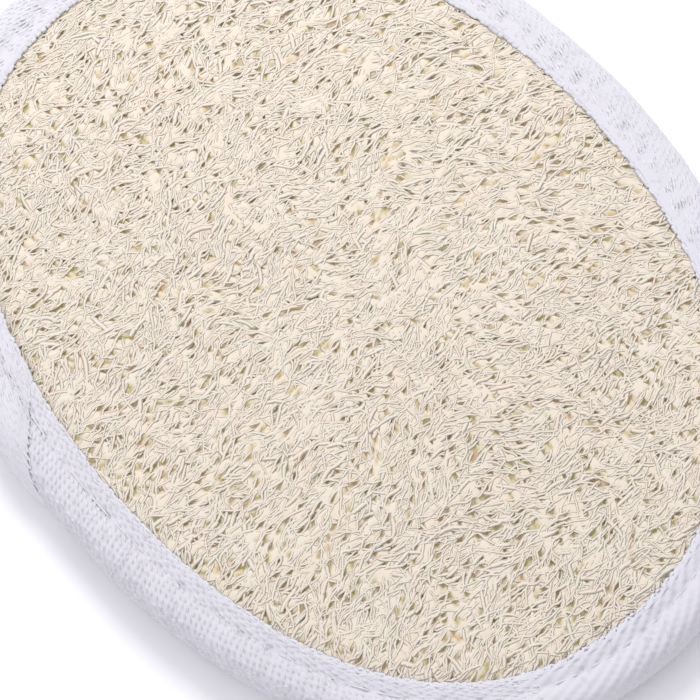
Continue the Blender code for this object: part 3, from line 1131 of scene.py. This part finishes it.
@dataclass
class BindingTape:
    """The woven tape: one lapped strip, its yarn floats, its woven edges and its stitches.

    A dimple has a length, a width and a depth. The rolls along the woven edges have a height, a
    distance across and a width. The ribs' slant is the cosine and sine of their angle, and their reach
    is an angle round the oval. The three radii turn angles into lengths.
    """

    thickness: float = 0.9 * MM
    run_inset: float = 4.0 * MM
    cloth_drop: float = 0.055 * MM
    stitch_pitch: float = 5.3 * MM
    thread_radius: float = 0.15 * MM
    dimple: tuple[float, float, float] = (1.0 * MM, 0.75 * MM, 0.5 * MM)
    puffs: tuple[Swell, ...] = (Swell(0.12 * MM, 7.0 * MM, 61), Swell(0.07 * MM, 2.6 * MM, 62))
    rolls: tuple[tuple[float, float, float], ...] = (
        (0.42 * MM, 7.5 * MM, 1.0 * MM),
        (-0.42 * MM, 9.6 * MM, 0.9 * MM),
    )
    sway: Swell = Swell(3.0, 9.0 * MM, 63)
    rib_pitch: float = 1.50 * MM
    bead_pitch: float = 1.70 * MM
    rib_height: float = 0.23 * MM
    rib_slant: tuple[float, float] = (0.94, 0.34)
    rib_reach: float = 0.42
    lap_radius: float = 62.0 * MM
    edge_radius: float = 64.0 * MM
    hair_radius: float = 66.0 * MM
    float_seeds: dict[Side, int] = field(default_factory=lambda: {Side.TOP: 71, Side.UNDER: 72})
    edge_seed: int = 81
    hair_seed: int = 91

    def edges(self) -> tuple[float, float]:
        """Give the distances across at the tape's two woven edges."""
        run = SECTION.line()[1]
        return float(run[0]), float(run[-1])

    def upper_end(self, across: np.ndarray | float) -> np.ndarray:
        """Give the angle at which the slanted upper end stops, at distances across the tape."""
        speed = float(np.linalg.norm(OUTLINE.along(np.array(LAP.upper_end))))
        return LAP.upper_end + LAP.slant * across / speed

    def stitch_angles(self, across: float) -> np.ndarray:
        """Give the angles of the needle holes in a groove."""
        inset = float(SECTION.at(np.array(across))[0][0])
        return OUTLINE.round_angles(inset, self.stitch_pitch)

    def lap_rise(self, angle: np.ndarray, across: np.ndarray | float) -> np.ndarray:
        """Give how far the upper end stands off, which is less at the woven edge and at its very end.

        Args:
            angle: Angles round the oval.
            across: Distances across the tape.

        Returns:
            The stand-off.
        """
        inner = 0.38 + 0.62 * (1.0 - smooth_step(np.abs(across), 5.2 * MM, 8.5 * MM))
        left = (self.upper_end(across) - angle) * self.lap_radius
        hem = 0.15 + 0.85 * smooth_step(left, -1.2 * MM, 3.6 * MM)
        return LAP.rise_at(angle) * inner * hem

    def stitch_pull(self, angle: np.ndarray, across: np.ndarray, groove: float) -> np.ndarray:
        """Give how deep one groove is drawn in, with a dimple at each needle hole.

        Args:
            angle: Angles round the oval.
            across: Distances across the tape.
            groove: The groove's distance across.

        Returns:
            The depth at each place.
        """
        length, width, depth = self.dimple
        holes = self.stitch_angles(groove)
        turn = np.mod(angle, math.tau)
        after = np.searchsorted(holes, turn) % len(holes)
        near = np.full(np.shape(turn), 1.0)
        for hole in (after, (after - 1) % len(holes)):
            gap = np.abs(np.mod(turn - holes[hole] + math.pi, math.tau) - math.pi)
            near = np.minimum(near, gap * self.lap_radius / length)
        return depth * (np.exp(-(near**2)) * np.exp(-(((across - groove) / width) ** 2)))

    def end_ribs(self, angle: np.ndarray, across: np.ndarray) -> np.ndarray:
        """Give the height of the beaded, slanting ribs at the narrow end that lies towards X.

        Args:
            angle: Angles round the oval.
            across: Distances across the tape.

        Returns:
            The height at each place, which fades out under the pad.
        """
        level, steep = self.rib_slant
        run = angle * OUTLINE.half_length
        beside = math.tau * (level * across + steep * run) / self.rib_pitch
        ahead = math.tau * (level * run - steep * across) / self.bead_pitch
        rib = np.cos(beside) * (0.66 + 0.34 * np.cos(ahead)) + 0.22 * np.cos(ahead + 0.5 * beside)
        end = np.exp(-(((np.mod(angle + math.pi, math.tau) - math.pi) / self.rib_reach) ** 2))
        shown = 1.0 - smooth_step(across, 1.0 * MM, 3.0 * MM)
        return self.rib_height * end * shown * rib

    def lift(self, angle: np.ndarray, across: np.ndarray) -> np.ndarray:
        """Give how the cloth puffs and pulls in round its stitches.

        Args:
            angle: Angles round the oval.
            across: Distances across the tape.

        Returns:
            How far the face stands off its plain section.
        """
        run = angle * OUTLINE.half_length
        puff = add_swells(self.puffs, run, across)
        for corner in (SECTION.top_groove_corner, SECTION.under_groove_corner):
            puff = puff - self.stitch_pull(angle, across, SECTION.corner_across(corner))
        for height, place, width in self.rolls:
            puff = puff + height * np.exp(-(((np.abs(across) - place) / width) ** 2))
        return puff + self.end_ribs(angle, across)

    def face(
        self, angle: np.ndarray, across: np.ndarray | float, stand_off: np.ndarray | float
    ) -> np.ndarray:
        """Give points on the tape's outer face.

        Args:
            angle: Angles round the oval, which pass a full turn on the lap.
            across: Distances across the tape.
            stand_off: Extra distances out from the face.

        Returns:
            The points.
        """
        angle, across, stand_off = np.broadcast_arrays(angle, across, stand_off)
        point, outward = SECTION.at(across)
        reach = self.lap_rise(angle, across) + self.lift(angle, across) + stand_off
        inset, height = np.moveaxis(point + outward * reach[..., None], -1, 0)
        return OUTLINE.place(angle, inset, height)

    def outward(self, angle: np.ndarray, across: np.ndarray | float) -> np.ndarray:
        """Give the way out from the tape's face, 1 mm long."""
        return self.face(angle, across, 1.0 * MM) - self.face(angle, across, 0.0)

    def slanted(self, angle: np.ndarray, across: np.ndarray) -> np.ndarray:
        """Shear the last stretch of the strip's angles so that it ends on the slant."""
        blend = smooth_step(angle, LAP.blend_start, LAP.upper_end)
        return angle + (self.upper_end(across) - LAP.upper_end) * blend

    def strip(self) -> Heap:
        """Make the cloth under the yarn floats as one closed strip, with finer rows where it has ribs.

        Returns:
            The strip's shape.
        """
        plain_pitch, fine_pitch = 1.6 * MM, 0.5 * MM
        start, hem = LAP.strip_start(), LAP.upper_end - 0.07
        ribbed = 0.75
        runs = [(start, -ribbed, plain_pitch), (-ribbed, ribbed, fine_pitch), (ribbed, hem, plain_pitch)]
        parts = [OUTLINE.even_angles(self.run_inset, pitch, first, last)[:-1] for first, last, pitch in runs]
        hem_rows, face_columns, hidden_columns = 12, 79, 15
        angle = np.concatenate(parts + [np.linspace(hem, LAP.upper_end, hem_rows)])
        low, high = self.edges()
        across = np.linspace(low, high, face_columns)
        hidden = np.linspace(high, low, hidden_columns)
        outer = self.face(self.slanted(angle[:, None], across), across, -self.cloth_drop)
        inner = self.face(self.slanted(angle[:, None], hidden), hidden, -self.thickness)
        ring = np.concatenate([outer, inner], axis=1)
        rows, columns = ring.shape[:2]
        number = np.arange(rows * columns).reshape(rows, columns)
        squares, corners = [grid_faces(rows, columns, False, True)], []
        opposite = columns - 1 - np.arange(len(across)) * (len(hidden) - 1) // (len(across) - 1)
        for row, turned in ((0, 1), (rows - 1, -1)):
            front, back = number[row, : len(across)], number[row, opposite]
            cap = np.stack([front[:-1], front[1:], back[1:], back[:-1]], axis=-1)
            square = back[:-1] != back[1:]
            squares.append(cap[square][:, ::turned])
            corners.append(cap[~square][:, :3][:, ::turned])
        heap = Heap()
        # Depth 0.25 gives the cloth between the floats painted shade.
        heap.add(ring, np.concatenate(squares), np.concatenate(corners), np.array(0.4), np.array(0.25))
        return heap

    def bricks(self, patch: WeavePatch, draw: np.random.Generator) -> tuple[np.ndarray, np.ndarray]:
        """Place the floats of one patch, staggered like bricks along their own lean.

        Args:
            patch: The patch that they cover.
            draw: Source of random numbers.

        Returns:
            The angles and the distances across of their middles.
        """
        margin = 0.3 * MM
        low, high = self.edges()
        bottom, top = max(patch.low, low + margin), min(patch.high, high - margin)
        fine, run = OUTLINE.run_of(self.run_inset)
        first, last = np.interp([patch.start, patch.end], fine, run)
        lean = math.radians(patch.lean)
        reach = math.hypot(last - first, top - bottom)
        ahead = np.arange(-reach, reach, patch.pitch)
        beside = np.arange(-reach, reach, patch.spacing)
        ahead, beside = np.meshgrid(ahead, beside)
        ahead = ahead + 0.5 * patch.pitch * (np.arange(len(beside)) % 2)[:, None]
        ahead = ahead + draw.normal(0.0, 0.07 * patch.pitch, ahead.shape)
        beside = beside + draw.normal(0.0, 0.06 * patch.spacing, beside.shape)
        length = first + ahead * math.cos(lean) - beside * math.sin(lean)
        across = (bottom + ahead * math.sin(lean) + beside * math.cos(lean)).ravel()
        off_tape = 99.0
        angle = np.interp(length.ravel(), run, fine, left=-off_tape, right=off_tape)
        ragged = draw.normal(0.0, 0.012, angle.size)
        ends = np.minimum(self.upper_end(across) - 0.003, patch.end + ragged)
        start = max(LAP.strip_start() + 0.012, patch.start)
        kept = (angle < ends) & (angle > start + (ragged if start == patch.start else 0.0))
        fringe = draw.normal(0.0, 0.1 * MM, angle.size)
        kept &= across > bottom + fringe * (bottom > low + 1.0 * MM)
        kept &= across < top + fringe * (top < high - 1.0 * MM)
        kept &= (across > low + margin) & (across < high - 0.2 * MM)
        under_lap = (angle < start + 0.30) & (angle < self.upper_end(across) - math.tau - 0.02)
        kept &= ~under_lap
        return angle[kept], across[kept]

    def weave(self, patch: WeavePatch, draw: np.random.Generator) -> Heap:
        """Lay the yarn floats of one patch of the tape.

        Args:
            patch: The patch that they cover.
            draw: Source of random numbers.

        Returns:
            The floats' shapes.
        """
        low, high = self.edges()
        angle, across = self.bricks(patch, draw)
        number = len(angle)
        sway = self.sway.at(angle * OUTLINE.half_length, across)
        slant = math.radians(patch.lean) + np.radians(sway)
        slant = slant + draw.normal(0.0, math.radians(4.0), number)
        half = 0.52 * patch.pitch * draw.uniform(0.85, 1.08, number)
        share = np.array([-1.0, -0.5, 0.5, 1.0])
        arch = np.array([-1.0, 0.0, 0.0, -1.0]) * (0.9 * patch.thick + 0.01 * MM)
        taper = np.array([0.4, 1.0, 1.0, 0.4])
        speed = np.linalg.norm(OUTLINE.along(angle), axis=1)
        turn = angle[:, None] + half[:, None] * share * np.cos(slant)[:, None] / speed[:, None]
        cross = across[:, None] + half[:, None] * share * np.sin(slant)[:, None]
        line = self.face(turn, np.clip(cross, low, high), arch - self.cloth_drop)
        near = 0.2 * MM
        ahead = self.face(angle + near / speed, across, 0.0) - self.face(angle - near / speed, across, 0.0)
        aside = self.face(angle, across + near, 0.0) - self.face(angle, across - near, 0.0)
        up = np.cross(ahead, aside)
        up = up * np.sign((up * self.outward(angle, across)).sum(axis=1))[:, None]
        width = 0.53 * patch.spacing * draw.uniform(0.88, 1.15, number)[:, None] * taper
        thick = patch.thick * draw.uniform(0.85, 1.1, number)[:, None] * taper
        tones = draw.uniform(0.0, 1.0, number)
        heap = Heap()
        heap.add_tubes(line, width, thick, unit(up), tones, np.zeros(number), crisp=True)
        return heap

    def floats(self, side: Side) -> Heap:
        """Lay the short yarn floats of the twill on one side of the tape.

        Args:
            side: The side that they cover; the fold belongs to the top.

        Returns:
            The floats' shapes.
        """
        draw = np.random.default_rng(self.float_seeds[side])
        low, high = self.edges()
        fold, groove, rim = 1.25 * MM, -3.2 * MM, -7.4 * MM
        start, end = LAP.strip_start(), LAP.upper_end + 0.3
        near, sharp, far, lapped = np.radians([-52.0, -20.0, 20.0, 203.0])
        patches = [WeavePatch(start, end, fold, high, 12.0, 1.55 * MM, 0.68 * MM, 0.15 * MM)]
        if side is Side.TOP:
            far_rim = low + 1.8 * MM
            patches = [
                WeavePatch(far, lapped, far_rim, fold, 18.0, 1.50 * MM, 0.60 * MM, 0.055 * MM),
                WeavePatch(lapped, end, low, fold, 7.0, 2.20 * MM, 0.54 * MM, 0.065 * MM),
            ]
            for first, last, thick in ((start, near, 1.95 * MM), (near, sharp, 1.15 * MM)):
                patches += [
                    WeavePatch(first, last, low, rim, 12.0, 1.55 * MM, 0.64 * MM, 0.11 * thick),
                    WeavePatch(first, last, rim, groove, 36.0, 1.50 * MM, 0.66 * MM, 0.15 * thick),
                    WeavePatch(first, last, groove, fold, 9.0, 1.55 * MM, 0.64 * MM, 0.13 * thick),
                ]
        heap = Heap()
        for patch in patches:
            heap.join(self.weave(patch, draw))
        return heap

    def woven_edges(self) -> Heap:
        """Make the small turned loops of weft along the tape's two edges.

        Returns:
            The loops' shapes.
        """
        heap = Heap()
        draw = np.random.default_rng(self.edge_seed)
        share = np.array([-1.0, -0.45, 0.45, 1.0])
        inward = np.array([0.7, 0.1, 0.0, 0.6])
        taper = np.array([0.45, 1.0, 1.0, 0.45])
        for edge in self.edges():
            angle = OUTLINE.even_angles(8.1 * MM, 1.1 * MM, LAP.strip_start(), float(self.upper_end(edge)))
            number = len(angle)
            angle = angle + draw.normal(0.0, 0.0035, number)
            poke = draw.normal(0.10, 0.16, number) * MM * math.copysign(1.0, edge)
            depth = math.copysign(0.8 * MM, -edge) * draw.uniform(0.5, 1.2, number)
            turn = angle[:, None] + share * draw.uniform(0.45, 0.8, number)[:, None] * MM / self.edge_radius
            cross = edge + poke[:, None] + depth[:, None] * inward
            line = self.face(turn, cross, -0.13 * MM)
            up = unit(self.outward(angle, edge))
            size = draw.uniform(0.75, 1.3, number)[:, None] * taper
            width, thick = 0.36 * MM * size, 0.14 * MM * size
            heap.add_tubes(line, width, thick, up, draw.uniform(0.0, 1.0, number), np.zeros(number), 4)
        return heap

    def thread(self, side: Side) -> Heap:
        """Make one closed line of stitches that dips into its needle holes.

        Args:
            side: The side of the pad that it lies on.

        Returns:
            The thread's shape.
        """
        corner = SECTION.top_groove_corner if side is Side.TOP else SECTION.under_groove_corner
        groove = SECTION.corner_across(corner)
        holes = self.stitch_angles(groove)
        per_stitch, sides = 10, 6
        count = len(holes) * per_stitch
        stitch = np.arange(count) / per_stitch
        angle = np.interp(stitch, np.arange(len(holes) + 1), np.append(holes, math.tau))
        share = np.mod(stitch, 1.0)
        dip = 0.60 * MM * np.exp(-((np.minimum(share, 1.0 - share) / 0.07) ** 2))
        end = float(self.upper_end(groove))
        off_lap = smooth_step(angle, end + 0.01, end + 0.05)
        sunk = -self.lap_rise(angle, groove) * off_lap - dip - 0.11 * MM
        line = self.face(angle, groove, sunk)
        up = self.face(angle, groove, sunk + 1.0 * MM) - line
        ahead = unit(np.roll(line, -1, axis=0) - np.roll(line, 1, axis=0))
        sideways = unit(np.cross(ahead, up))
        upward = unit(np.cross(sideways, ahead))
        turn = math.tau * np.arange(sides)[:, None] / sides
        round_it = sideways[:, None] * np.cos(turn) + upward[:, None] * np.sin(turn)
        points = line[:, None] + self.thread_radius * round_it
        quads = np.roll(grid_faces(count, sides, True, True), -1, axis=1)
        heap = Heap()
        heap.add(points, quads, np.zeros((0, 3), int), np.array(0.6), np.array(0.0))
        return heap

    def hairs(self) -> Heap:
        """Make the fine loose hairs of the cotton.

        Returns:
            The hairs' shapes.
        """
        draw = np.random.default_rng(self.hair_seed)
        low, high = self.edges()
        number, steps = 700, 5
        angle = draw.uniform(LAP.strip_start() + 0.4, LAP.upper_end - 0.1, number)
        across = draw.uniform(low, high * 0.5, number)
        heading = draw.uniform(0.0, math.tau, number)
        length = draw.uniform(0.8, 2.4, number) * MM
        share = np.linspace(0.0, 1.0, steps)
        curl = heading[:, None] + draw.normal(0.0, 0.9, (number, 1)) * share
        turn = angle[:, None] + length[:, None] * share * np.cos(curl) / self.hair_radius
        cross = np.clip(across[:, None] + length[:, None] * share * np.sin(curl), low, high)
        rise = (0.1 * MM + 0.35 * MM * np.sin(share * math.pi * 0.8)) * draw.uniform(0.3, 1.0, (number, 1))
        line = self.face(turn, cross, rise)
        thin = np.full((number, steps), 0.022 * MM)
        ups = np.tile([0.1, 0.05, 1.0], (number, 1))
        heap = Heap()
        heap.add_tubes(line, thin, thin, ups, draw.uniform(0.5, 1.0, number), np.zeros(number))
        return heap

    def stray_thread(self) -> Heap:
        """Make the one stray thread that lies across the tape.

        Returns:
            The thread's shape.
        """
        steps = 14
        share = np.linspace(0.0, 1.0, steps)
        turn = np.radians(-81.6 + 1.3 * share + 0.35 * np.sin(5.0 * share))
        cross = (-7.4 + 7.8 * share) * MM
        line = self.face(turn, cross, (0.10 + 0.45 * np.sin(math.pi * share) ** 2) * MM)
        thick = np.full((1, steps), 0.06 * MM)
        heap = Heap()
        up = np.array([[0.0, -0.2, 1.0]])
        heap.add_tubes(line[None], thick, thick, up, np.ones(1), np.zeros(1), 5)
        return heap

    def build(self) -> None:
        """Make the tape's pieces and dress them."""
        cloth = CottonFinish("woven cotton").build()
        yarn = CottonFinish("sewing thread", sheen=0.1).build()
        ground = self.strip().build("tape_cloth", cloth, "binding_cotton", "binding_tape")
        fuzz = self.hairs()
        fuzz.join(self.stray_thread())
        yarns = {
            "tape_floats_top": self.floats(Side.TOP),
            "tape_floats_under": self.floats(Side.UNDER),
            "tape_woven_edges": self.woven_edges(),
            "tape_fuzz": fuzz,
        }
        laid = [heap.build(name, cloth, "binding_cotton", "binding_tape") for name, heap in yarns.items()]
        first, last = np.interp([LAP.strip_start(), LAP.upper_end], *OUTLINE.run_of(self.run_inset))
        self.thread(Side.TOP).build("stitches_top", yarn, "sewing_thread", "seam_thread_top")
        self.thread(Side.UNDER).build("stitches_under", yarn, "sewing_thread", "seam_thread_bottom")


@dataclass
class TerryBack:
    """The terry cloth back: a shallow dish of cloth covered with small loops.

    The under and inner faces of the dish are listed as (distance in from the edge, height).
    """

    under: tuple[tuple[float, float], ...] = (
        (14.0 * MM, 0.92 * MM),
        (11.5 * MM, 1.10 * MM),
        (9.6 * MM, 1.65 * MM),
        (8.5 * MM, 2.60 * MM),
        (7.6 * MM, 3.20 * MM),
        (2.6 * MM, 3.35 * MM),
    )
    inner: tuple[tuple[float, float], ...] = (
        (2.6 * MM, 3.9 * MM),
        (8.6 * MM, 3.9 * MM),
        (9.9 * MM, 2.6 * MM),
        (11.8 * MM, 1.7 * MM),
        (14.0 * MM, 1.45 * MM),
    )
    loop_pitch: float = 1.60 * MM
    loop_half: float = 0.66 * MM
    loop_radius: float = 0.31 * MM
    lowest_line: float = 0.21 * MM
    seed: int = 101

    def cloth(self) -> Heap:
        """Make the ground cloth.

        Returns:
            The cloth's shape.
        """
        angle = OUTLINE.round_angles(8.0 * MM, 2.6 * MM)
        rings = [OUTLINE.place(angle, inset, height) for inset, height in self.under + self.inner]
        under_middle = rings[0].mean(axis=0)
        inner_middle = rings[-1].mean(axis=0)
        shares = (0.66, 0.33)
        outward = [under_middle + (rings[0] - under_middle) * share for share in reversed(shares)]
        homeward = [inner_middle + (rings[-1] - inner_middle) * share for share in shares]
        points = np.stack(outward + rings + homeward, axis=1)
        heap = Heap()
        shape = closed_rings(points, under_middle, inner_middle)
        # Depth 0.35 gives the ground cloth between the loops painted shade.
        heap.add(*shape, np.array(0.5), np.array(0.35))
        return heap

    def loops(self) -> Heap:
        """Make the pile of small loops on the underside.

        Returns:
            The loops' shapes.
        """
        draw = np.random.default_rng(self.seed)
        cells = OUTLINE.cells(self.loop_pitch)
        stray = 0.28 * self.loop_pitch
        places = cells + draw.uniform(-stray, stray, cells.shape)
        inset = OUTLINE.inset_of(places)
        kept = inset > 8.4 * MM
        places, inset = places[kept], inset[kept]
        number = len(places)
        ground = np.interp(inset, *np.array(self.under)[::-1].T)
        heading = draw.uniform(0.0, math.pi, number)
        half = self.loop_half * draw.uniform(0.8, 1.25, number)
        share = np.array([-1.0, -0.80, 0.0, 0.80, 1.0])
        drop = np.array([-0.1, 0.42, 0.72, 0.42, -0.1]) * MM
        line = np.zeros((number, len(share), 3))
        spread = (half[:, None] * share)[..., None] * direction(heading)[:, None]
        line[..., :2] = places[:, None] + spread
        line[..., 2] = ground[:, None] - drop * draw.uniform(0.75, 1.0, (number, 1))
        line[..., 2] = np.maximum(line[..., 2], self.lowest_line)
        size = np.full((number, len(share)), self.loop_radius)
        lean = draw.normal(0.0, 0.35, (number, 3))
        ups = unit(np.array([0.0, 0.0, -1.0]) + lean * np.array([1.0, 1.0, 0.0]))
        heap = Heap()
        heap.add_tubes(line, size, size * 0.6, ups, draw.uniform(0.0, 1.0, number), np.zeros(number))
        return heap

    def build(self) -> None:
        """Make the back's pieces and dress them."""
        white, shade, warm = (0.80, 0.785, 0.75), (0.6, 0.58, 0.54), (0.82, 0.79, 0.74)
        terry = CottonFinish("terry cotton", white=white, shade=shade, warm=warm).build()
        pile = self.loops().build("terry_loops", terry, "terry_cotton", "terry_backing")
        ground = self.cloth().build("terry_cloth", terry, "terry_cotton", "terry_backing")


@dataclass(frozen=True)
class Lamp:
    """One soft round lamp that faces the pad."""

    name: str
    place: tuple[float, float, float]
    size: float
    power: float
    colour: tuple[float, float, float]

    def hang(self) -> None:
        """Hang the lamp."""
        light = bpy.data.lights.new(self.name, "AREA")
        light.shape = "DISK"
        light.size = self.size
        light.energy = self.power
        light.color = self.colour
        set_up(add_object(self.name, light), Vector(self.place), -Vector(self.place))


@dataclass
class Studio:
    """A white table, soft light from the upper left and the camera."""

    azimuth: float = math.radians(50.96)
    elevation: float = math.radians(68.0)
    distance: float = 620.0 * MM
    lens: float = 207.9
    target: tuple[float, float, float] = (4.59 * MM, -3.64 * MM, 1.4 * MM)
    table_reach: float = 4.0
    sky: tuple[float, float, float, float] = (0.965, 0.955, 1.0, 1.0)
    sky_strength: float = 0.835
    lamps: tuple[Lamp, ...] = (
        Lamp("key_light", (-0.27, 0.155, 0.37), 0.24, 1.30, (1.0, 0.985, 0.96)),
        Lamp("fill_light", (-0.10, -0.48, 0.34), 0.34, 0.50, (0.98, 0.985, 1.0)),
    )

    def floor(self) -> None:
        """Lay the white table."""
        mesh = bpy.data.meshes.new("table_top")
        reach = self.table_reach
        corners = [(-reach, -reach, 0.0), (reach, -reach, 0.0), (reach, reach, 0.0), (-reach, reach, 0.0)]
        mesh.from_pydata(corners, [], [(0, 1, 2, 3)])
        material, nodes, surface = new_material("white table")
        whites = [(0.0, (0.905, 0.905, 0.925)), (1.0, (0.92, 0.92, 0.935))]
        colour = nodes.ramp(nodes.noise(30.0, 2.0), whites)
        nodes.feed(surface, {"Base Color": colour, "Roughness": 0.7, "Specular IOR Level": 0.2})
        mesh.materials.append(material)
        add_object("table_top", mesh)

    def camera(self) -> None:
        """Set the camera over the pad."""
        x, y, height = self.target
        centre = OUTLINE.centre()
        target = Vector((x - centre[0], y - centre[1], height))
        level = math.cos(self.elevation)
        east, north = math.sin(self.azimuth) * level, -math.cos(self.azimuth) * level
        back = Vector((east, north, math.sin(self.elevation)))
        data = bpy.data.cameras.new("camera")
        data.lens = self.lens
        data.sensor_width = 36.0
        data.clip_start = 0.01
        data.clip_end = 20.0
        camera = add_object("camera", data)
        set_up(camera, target + back * self.distance, -back)
        bpy.context.scene.camera = camera

    def build(self) -> None:
        """Set up the table, the light and the camera."""
        self.floor()
        world = bpy.data.worlds.new("soft room")
        world.use_nodes = True
        background = world.node_tree.nodes["Background"]
        background.inputs["Color"].default_value = self.sky
        background.inputs["Strength"].default_value = self.sky_strength
        bpy.context.scene.world = world
        for lamp in self.lamps:
            lamp.hang()
        bpy.context.scene.view_settings.view_transform = "Standard"
        self.camera()


def main() -> None:
    logging.basicConfig(level=logging.INFO, format="%(name)s %(message)s")
    Studio().build()
    LoofahSlab().build()
    BindingTape().build()
    TerryBack().build()


if __name__ == "__main__":
    main()
